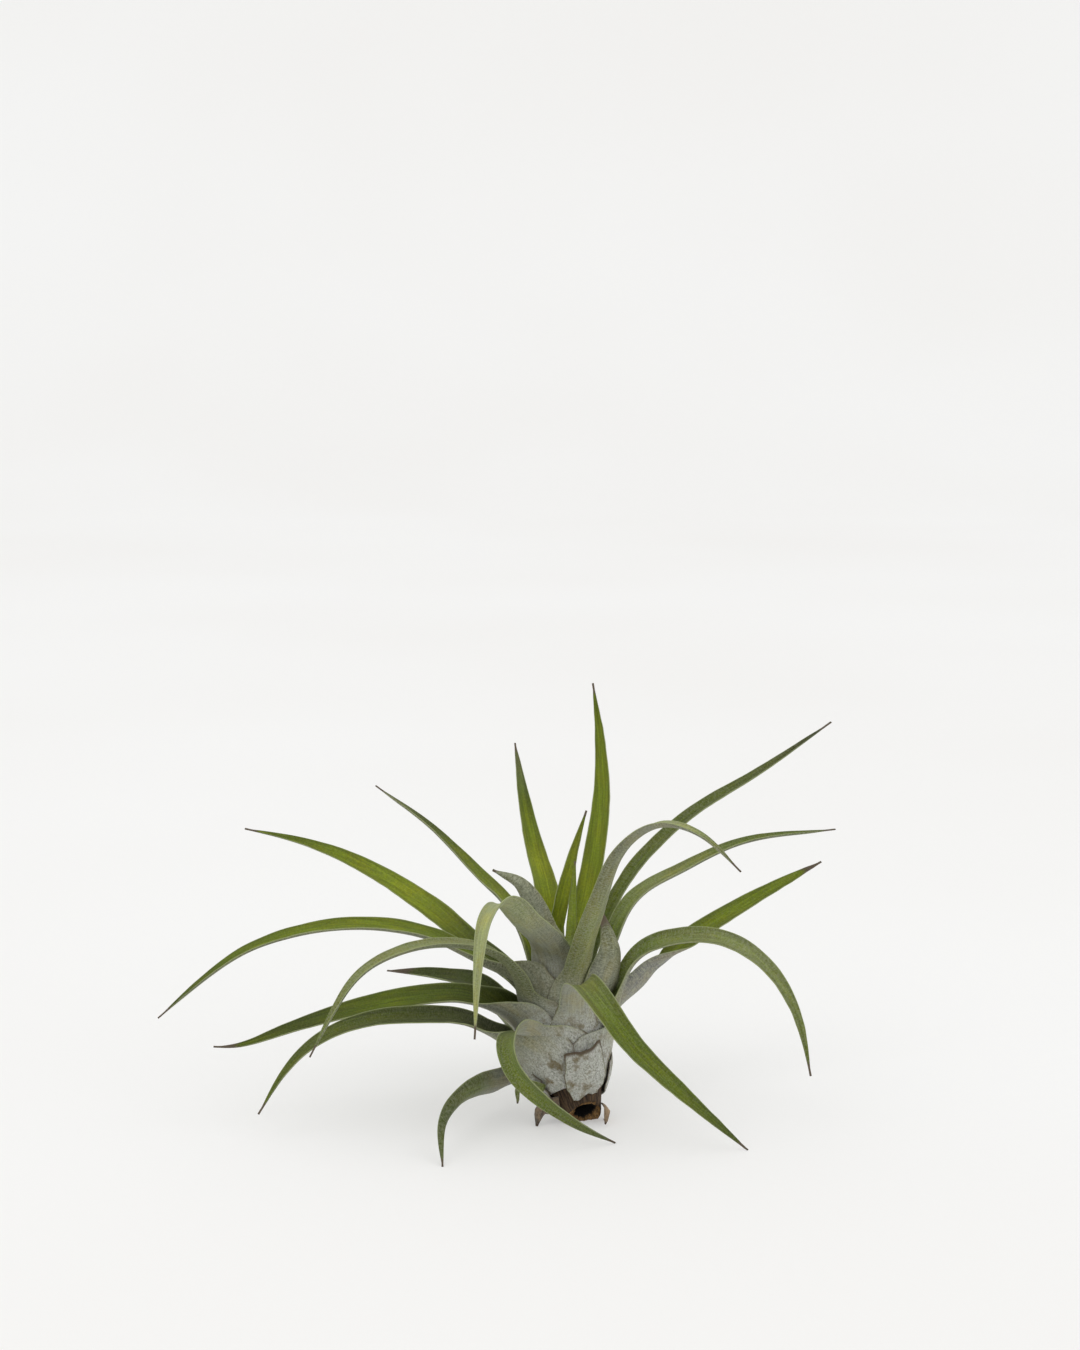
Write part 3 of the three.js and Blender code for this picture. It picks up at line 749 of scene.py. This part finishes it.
# The leaves from the oldest to the youngest, as in the CAD model: side is where each grows from, in degrees
# round the stem from the right by the back; path the points in mm that its midrib passes after its strap;
# width its blade's; roll how far the blade turns over soon after its strap, at half length and at its tip.
# face and back are its colours from foot to tip, scales how grey each of the two is, tip the share that is
# dry, rim how pale its margin is. Where it isn't as usual, wrap is the half-angle that its strap clasps,
# bladeFrom where the strap has narrowed to the blade, belly the power that the blade tapers by, climb how far
# the strap climbs, lift how far it lies outside the leaves inside it, and torn the width of a torn sheath.
leaves = {
    "sheath_old_right": {"side": 287, "width": 11, "climb": 12, "lift": 0.3, "torn": 8, "wrap": 30,
                         "path": [],
                         "face": "bark", "back": "olive felt felt ash tan", "scales": (0.3, 0.5)},
    "leaf_low_left": {"side": 145, "width": 8.6, "roll": (92, 100, 150),
                      "path": [(-19, -1, 8.6), (-22, -7, 9.6), (-26.3, -16, 9.6), (-30, -27, 7),
                               (-30, -36.5, -0.2)],
                      "face": "olive green deep deep", "back": "felt lilac olive deep deep",
                      "scales": (0.05, 0.3)},
    "leaf_rear_left": {"side": 58, "width": 6.4,
                       "path": [(-4, 26, 13), (-7, 36, 13), (-8.5, 46, 8), (-9, 53, -0.3)],
                       "face": "olive green deep", "back": "felt grey olive", "scales": (0.25, 0.6)},
    "leaf_left_hanging": {"side": 206, "width": 7.0, "roll": (-58, -66, -62), "bladeFrom": 23,
                          "path": [(-24.5, 0, 23.5), (-36.5, -5, 26), (-48.5, -8.5, 25.9),
                                   (-59, -11, 22.3), (-66.5, -13, 15.8), (-73, -15.5, 5.9)],
                          "face": "deep dusk deep olive green", "back": "felt grey olive dusk",
                          "scales": (0.12, 0.5)},
    "leaf_right_hanging": {"side": 345, "width": 7.0, "roll": (38, 36, 42),
                           "path": [(14, 9.5, 36.6), (27, 3, 43.2), (36.7, -3, 43.2), (45.4, -7, 37.4),
                                    (51.4, -10, 26.8), (54.2, -12, 14)],
                           "face": "olive green sage green", "back": "felt grey grey olive",
                           "scales": (0.3, 0.6)},
    "leaf_left_dark": {"side": 124, "width": 7.6, "roll": (0, -15, -15), "belly": 2.8, "bladeFrom": 26,
                       "path": [(-22, 24, 25.5), (-32.5, 33, 26.5), (-46, 40, 26.3)],
                       "face": "deep deep deep", "back": "grey olive dusk", "scales": (0.1, 0.4), "tip": 0.1},
    "leaf_front_folded": {"side": 233, "width": 7.6, "roll": (20, 38, 38),
                          "path": [(-15, -14, 24), (-14, -20, 18), (-7, -21.5, 11), (1, -21, 5),
                                   (9, -19, 0.2)],
                          "face": "olive green green deep", "back": "felt felt sage olive deep",
                          "scales": (0.25, 0.45)},
    "leaf_right_low": {"side": 26, "width": 6.6, "roll": (-55, 40, 55), "belly": 3, "bladeFrom": 24,
                       "path": [(15, 18, 28), (28.3, 27, 37), (43.8, 37, 44.5), (61.5, 46, 52.5)],
                       "face": "olive green vivid vivid", "back": "felt lilac lilac ash grey",
                       "scales": (0.1, 0.7), "tip": 0.06},
    "leaf_right_folded": {"side": 288, "width": 7.8, "wrap": 40,
                          "path": [(1.5, -14, 36.5), (5.7, -20, 32.7), (12.6, -23, 23.8), (24.8, -24.5, 12.4),
                                   (39, -24, 0)],
                          "face": "pale sage green green deep", "back": "felt felt grey olive",
                          "scales": (0.12, 0.7)},
    "leaf_left_broad": {"side": 184, "width": 8.4, "roll": (-38, -48, -45), "bladeFrom": 24,
                        "path": [(-24, 7, 27.2), (-34, 6, 27.8), (-48, 4, 26.2), (-64.2, 1.5, 22.3),
                                 (-79.5, -1, 17.8), (-84.5, -2.5, 18.4)],
                        "face": "olive deep green deep green", "back": "felt ash grey sage",
                        "scales": (0.06, 0.6), "tip": 0.06},
    "leaf_rear_straight": {"side": 90, "width": 6.6,
                           "path": [(-0.5, 38, 27), (0.5, 52, 25), (2, 72, 15), (2.5, 80, 9)],
                           "face": "olive green green deep", "back": "felt grey olive", "scales": (0.2, 0.6)},
    "leaf_right_short": {"side": 330, "width": 10.4, "roll": (-30, -34, -34),
                         "path": [(7.4, 5, 33), (9, 7, 39.5), (6.3, 12, 48)],
                         "face": "olive green", "back": "felt grey ash grey dusk", "scales": (0.2, 0.55),
                         "tip": 0.12},
    "leaf_left_bowed": {"side": 214, "width": 6.8, "roll": (-10, -8, -5), "bladeFrom": 14, "wrap": 58,
                        "path": [(-17.5, -2, 39.5), (-29, -9, 44.2), (-39.3, -15, 44.1), (-49, -20, 40),
                                 (-55.2, -23, 31.4), (-60.3, -25, 22)],
                        "face": "olive sage sage sage green", "back": "grey olive grey olive",
                        "scales": (0.35, 0.55)},
    "leaf_right_bowed": {"side": 8, "width": 6.8, "roll": (28, 38, 45), "belly": 1.6,
                         "path": [(13.2, 20, 47.3), (26.3, 30, 53.6), (42, 38, 59.2), (65, 47, 60.5)],
                         "face": "vivid green sage green olive", "back": "grey grey olive",
                         "scales": (0.2, 0.5)},
    # the dusk and deep colours at this leaf's foot are painted shade
    "leaf_left_high": {"side": 136, "width": 7.6, "roll": (-15, -35, -25),
                       "path": [(-24.5, 28, 35), (-36.5, 37, 43.4), (-53.7, 46, 52), (-68.7, 53, 56.3),
                                (-82.5, 58, 58.5)],
                       "face": "dusk deep lime vivid green", "back": "grey grey olive",
                       "scales": (0.07, 0.5)},
    "leaf_right_arched": {"side": 294, "width": 6.6, "roll": (8, 20, 20), "wrap": 50,
                          "path": [(5.6, -5, 52.5), (10.4, -13, 66.7), (18.8, -22, 75), (28, -30, 73.8),
                                   (36, -36, 67)],
                          "face": "green sage sage pale olive", "back": "grey sage grey ash grey",
                          "scales": (0.35, 0.5)},
    "leaf_left_arched": {"side": 193, "width": 7.6, "roll": (-46, -56, -54), "bladeFrom": 16,
                         "path": [(-20, 13, 33), (-32, 15, 39.5), (-46.5, 17, 42.4), (-60.5, 16, 42.2),
                                  (-77.4, 14, 37.8), (-88.8, 12, 30.5), (-99, 10, 22)],
                         "face": "deep green vivid vivid green deep", "back": "grey grey olive",
                         "scales": (0.07, 0.5)},
    "leaf_right_high": {"side": 50, "width": 4.6, "roll": (0, 10, 10), "belly": 2.6,
                        "path": [(9.2, 27, 45.2), (16.4, 33, 55.3), (28.5, 39, 65.5), (46.8, 48, 75.1),
                                 (64.5, 56, 86)],
                        "face": "vivid green olive olive dusk", "back": "grey olive olive",
                        "scales": (0.2, 0.4)},
    "leaf_back_left": {"side": 148, "width": 6.6, "roll": (-5, -22, -15), "belly": 1.4,
                       "path": [(-15, 26, 44), (-23.5, 37, 51), (-36, 49, 61.2), (-49.5, 58, 69.5)],
                       "face": "vivid lime vivid olive grey", "back": "grey olive grey",
                       "scales": (0.1, 0.5)},
    "leaf_front_arched": {"side": 252, "width": 9.8, "roll": (8, 15, 20), "belly": 1.3,
                          "path": [(-11.5, -12, 49.5), (-16.5, -24, 57.5), (-20, -34, 55.5),
                                   (-21.5, -42, 46.5), (-22.5, -47, 32)],
                          "face": "green olive pale pale pale", "back": "felt ash sage pale pale",
                          "scales": (0.4, 0.7), "rim": 1},
    "leaf_back_upright": {"side": 122, "width": 8.2,
                          "path": [(-6.9, 28, 47), (-10.1, 38, 57), (-12.8, 48, 69), (-14.5, 57, 80.5)],
                          "face": "lime lime lime green grey", "back": "grey olive", "scales": (0.05, 0.4)},
    "leaf_heart_small": {"side": 290, "width": 3.4, "path": [(0.2, 22, 57.5)],
                         "face": "vivid green", "back": "olive vivid vivid", "scales": (0.05, 0.1)},
    "leaf_back_tall": {"side": 48, "width": 7.2, "roll": (7, 15, 15),
                       "path": [(5.8, 34, 58), (7.4, 44, 71), (6.8, 52, 83.5), (5, 58, 95.5)],
                       "face": "lime lime vivid vivid green", "back": "grey olive", "scales": (0.05, 0.4)},
    "leaf_front_short": {"side": 222, "width": 7.4, "roll": (25, 35, 35),
                         "path": [(-12.5, 12, 53.5), (-19.5, 14, 57)],
                         "face": "green vivid", "back": "grey ash grey", "scales": (0.1, 0.7)},
    "leaf_heart": {"side": 120, "width": 4.6, "roll": (0, -10, -10), "path": [(-0.8, 26.5, 57), (3, 32, 68)],
                   "face": "vivid lime green", "back": "vivid lime olive", "scales": (0.05, 0.15)},
}
for number, (node, leaf) in enumerate(leaves.items()):
    leaf["seat"] = stem["lowestSeat"] + stem["seatStep"] * number
    growLeaf(node, leaf, number + 1)
print("leaves: %d" % len(leaves))

# What is left of the oldest leaves hangs from the foot of the stem, with no strap. seat is how far up it is.
remnants = {
    "dry_flap": {"seat": 0.3, "lift": 1, "side": 22, "width": 4.4, "path": [(7.6, -4.2, 3), (7, -5.5, 0.6)],
                 "face": "tan", "back": "tan tan bark", "scales": (0.1, 0.3), "skin": "dry"},
    "dry_spike": {"seat": 3, "lift": 0.7, "side": 228, "width": 4, "path": [(-8, -4.4, 4), (-9, -5.7, 0.2)],
                  "face": "bark", "back": "bark bark soot", "scales": (0.1, 0.3), "skin": "dry"},
    "leaf_low_stub": {"seat": 7, "lift": 1.9, "side": 215, "width": 3.6,
                      "path": [(-13, -6, 10), (-13.5, -7, 6)],
                      "face": "green", "back": "green olive", "scales": (0.2, 0.3)},
}
firstRemnant = 40  # their numbers are well past the leaves' own
for number, (node, leaf) in enumerate(remnants.items()):
    leaf["climb"] = 0
    growLeaf(node, leaf, number + firstRemnant)
print("remnants: %d" % len(remnants))


# the stem with its broken end and hollow
def roundPoints(centre, right, back, radii, turns):
    return centre + right * (radii * np.cos(turns))[:, None] + back * (radii * np.sin(turns))[:, None]


def ringNoise(turns, scale, shiftX, shiftY, seed):  # noise that closes on itself round a ring
    return np.array([
        wander(math.cos(t) * scale + shiftX, math.sin(t) * scale + shiftY, seed, 3) for t in turns])


def stemWall(turns):  # rings from the growing tip down to the foot
    wall = []
    for height in np.linspace(stemLength, 0, stem["rings"]):
        point, _, right, back = stemAt(height)
        ragged = ringNoise(turns, stem["barkWaves"], height / stem["barkStretch"], 0, 3.3)
        rough = 1 + stem["barkRough"] * ragged
        wall.append(roundPoints(point, right, back, stemRadius(height) * rough, turns))
    return wall


# The stem is rings of points, each with how much painted shade darkens it and how broken it looks there.
def breakRings(rim, centre, outward):  # across the break, down the hollow and over its floor
    flat = rim - centre
    right = unit(flat[0] - outward * (flat[0] @ outward))
    back = np.cross(outward, right)
    turns = np.arctan2(flat @ back, flat @ right)
    far = np.linalg.norm(flat, axis=1)
    upward = unit(np.array([0, 0, 1]) - outward * outward[2])
    rotten = centre + upward * stem["pitRise"]
    floor = rotten - outward * stem["pitDepth"]
    rings = []
    for share in stem["breakRings"]:
        ragged = ringNoise(turns, stem["breakWaves"], 0, share, 8.1)
        radii = blend(stem["pitMouth"] * (1 + stem["pitRough"] * ragged), far, share)
        ring = roundPoints(blend(rotten, centre, share), right, back, radii, turns)
        raised = np.outer(stem["breakRough"] * ragged * (1 - share), outward)
        rings.append((ring + raised, stem["mouthShade"] * (1 - share), 1))
    for share in stem["pitRings"]:
        ragged = ringNoise(turns, stem["pitWaves"], 0, share * 2, 9.7)
        radii = blend(stem["pitMouth"], stem["pitFloor"], share) * (1 + stem["pitRough"] * ragged)
        ring = roundPoints(rotten, right, back, radii, turns)
        # painted shade grows down the hollow and is full on its floor
        rings.append((ring - outward * stem["pitDepth"] * share, blend(stem["pitDark"], 1, share), 1))
    for share in stem["floorRings"]:
        rings.append((roundPoints(floor, right, back, stem["pitFloor"] * share, turns), 1, 1))
    return rings


def makeStem():
    sides = stem["sides"]
    turns = np.linspace(0, 2 * math.pi, sides, endpoint=False)
    centre = np.array(stem["breakCentre"], float)
    outward = unit(np.array(stem["breakFacing"], float))
    down = -stemAt(0)[1]
    wall = stemWall(turns)
    # the wall runs on to the plane of the break, and none of it goes past that
    rim = wall[-1] + np.outer(((centre - wall[-1]) @ outward) / (down @ outward), down)
    for ring in wall:
        beyond = np.maximum(0, (ring - centre) @ outward)
        ring -= np.outer(beyond / (down @ outward), down)
    rings = [(ring, 0, 0) for ring in wall] + [(rim, 0, stem["rimBroken"])]
    rings += breakRings(rim, centre, outward)

    points = np.vstack([ring for ring, _, _ in rings])
    points[:, 2] = np.maximum(points[:, 2], 0)
    faces = []
    for r in range(len(rings) - 1):
        for i in range(sides):
            a, b = r * sides + i, r * sides + (i + 1) % sides
            faces.append((b, a, a + sides, b + sides))
    faces.append(tuple(range(sides)))
    faces.append(tuple(len(points) - 1 - i for i in range(sides)))
    numbers = {
        "hollow": np.repeat([hollow for _, hollow, _ in rings], sides),
        "broken": np.repeat([broken for _, _, broken in rings], sides),
    }
    reach, step = stem["skinPlace"]
    places = [(math.cos(t) * reach, r * step, math.sin(t) * reach) for r in range(len(rings)) for t in turns]
    piece = makePiece("stemFoot", points, faces, numbers, {"leafPlace": places}, {}, skins["bark"])
    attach(piece, "root")
    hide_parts("stem")


makeStem()
print("stem: done")

# the floor, which sweeps up to a wall behind, and the light, in metres
studio = {
    "floor": "c6c6c5",
    "cloud": "c3c2c0",
    "cloudScale": 2.0,
    "cloudSpan": (0.3, 0.7),
    "glow": 0.35,
    "half": 3.0,  # of its width
    "front": -2.0,
    "behind": 1.6,
    "sweep": 0.8,
    "sweepSteps": 40,
    "top": 3.0,
    "room": (1.0, 1.0, 0.995, 1),
    "roomLight": 0.98,
}
lamps = {
    "keyLight": {"place": (-0.7, -0.8, 1.3), "aim": (0, 0, 0.03), "size": 0.9, "power": 2.2},
    "fillLight": {"place": (0.9, -0.7, 0.7), "aim": (0, 0, 0.04), "size": 1.0, "power": 0.6},
}


def makeFloor(studio):
    material, tree = startMaterial("paleFloor")
    cloud = noiseOf(tree, addNode(tree, "TexCoord", {}, {}, "Object"), studio["cloudScale"])
    clouded = mapTo(tree, cloud, studio["cloudSpan"])
    toned = mixTones(tree, clouded, rgba(studio["floor"]), rgba(studio["cloud"]))
    finishMaterial(tree, {"Base Color": toned, "Roughness": 0.9, "Specular IOR Level": 0.1,
                          "Emission Color": (1, 1, 1, 1), "Emission Strength": studio["glow"]})
    profile = [(studio["front"], 0)]
    for k in range(studio["sweepSteps"] + 1):
        turn = math.radians(90 * k / studio["sweepSteps"])
        profile.append((studio["behind"] + math.sin(turn) * studio["sweep"],
                        studio["sweep"] - math.cos(turn) * studio["sweep"]))
    profile.append((studio["behind"] + studio["sweep"], studio["top"]))
    points = [(x, y, z) for y, z in profile for x in (-studio["half"], studio["half"])]
    faces = [(2 * i, 2 * i + 1, 2 * i + 3, 2 * i + 2) for i in range(len(profile) - 1)]
    mesh = bpy.data.meshes.new("paleFloor")
    mesh.from_pydata(points, [], faces)
    mesh.polygons.foreach_set("use_smooth", [True] * len(mesh.polygons))
    mesh.materials.append(material)
    floor = bpy.data.objects.new("paleFloor", mesh)
    bpy.context.scene.collection.objects.link(floor)


def makeLight(name, place, aim, size, power):
    lamp = bpy.data.lights.new(name, "AREA")
    lamp.size = size
    lamp.energy = power
    light = bpy.data.objects.new(name, lamp)
    light.location = place
    light.rotation_euler = (Vector(aim) - Vector(place)).to_track_quat("-Z", "Y").to_euler()
    bpy.context.scene.collection.objects.link(light)


def makeRoom(studio):
    world = bpy.data.worlds.new("softRoom")
    world.use_nodes = True
    background = world.node_tree.nodes["Background"]
    background.inputs["Color"].default_value = studio["room"]
    background.inputs["Strength"].default_value = studio["roomLight"]
    bpy.context.scene.world = world


makeFloor(studio)
makeRoom(studio)
for name, lamp in lamps.items():
    makeLight(name, **lamp)
bpy.context.scene.view_settings.view_transform = "Standard"
print("studio: done")
